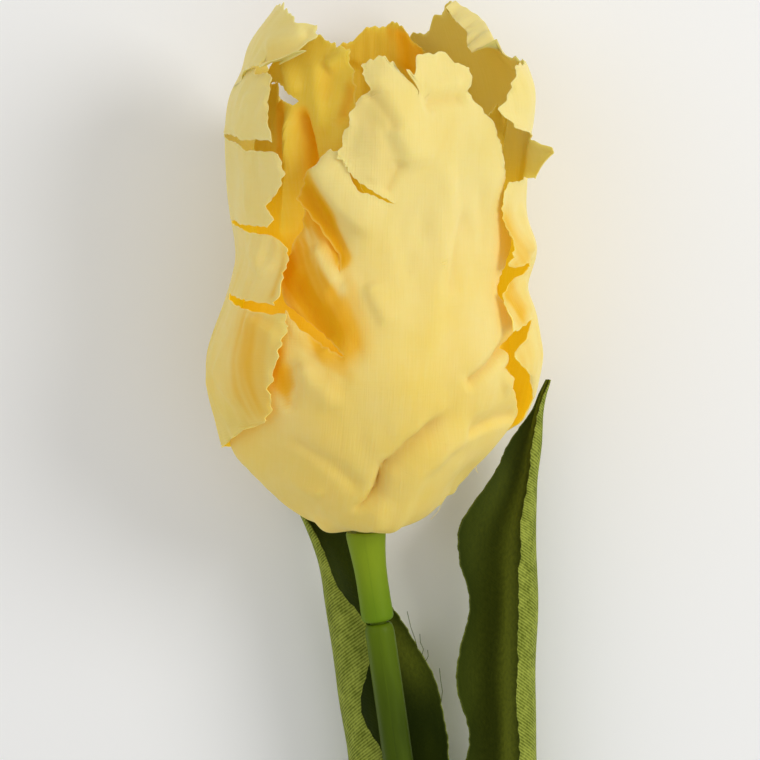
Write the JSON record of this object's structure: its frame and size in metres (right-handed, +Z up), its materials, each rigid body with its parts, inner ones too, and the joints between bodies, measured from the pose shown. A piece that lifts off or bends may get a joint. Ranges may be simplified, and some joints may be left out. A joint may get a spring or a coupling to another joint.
{
  "type": "artificial fringed tulip",
  "caption": "Cut fringed tulip of cloth lying on its back: slashed, toothed petals round a pistil and stamens, a long jointed stem and channelled leaves.",
  "frame": {"origin": "centre of the base of the whole flower's box, on the surface that it lies on", "axes": "+Y along the stem towards the bloom, +Z up from the surface, +X to the right of the bloom seen from above"},
  "size_m": [0.0568, 0.4004, 0.05],
  "materials": {
    "outer_petal_cloth": "matte",
    "inner_petal_cloth": "matte",
    "leaf_cloth": "matte",
    "stem_plastic": "satin",
    "flower_heart": "matte"
  },
  "bodies": {
    "root": {"petal_outer_front": "outer_petal_cloth", "petal_outer_left": "outer_petal_cloth", "petal_outer_right": "outer_petal_cloth", "petal_inner_left": "inner_petal_cloth", "petal_inner_right": "inner_petal_cloth", "petal_inner_back": "inner_petal_cloth", "leaf_left": "leaf_cloth", "leaf_right": "leaf_cloth", "stem_socket": "stem_plastic", "stem": "stem_plastic", "pistil": "flower_heart", "stamens": "flower_heart"}
  },
  "joints": []
}
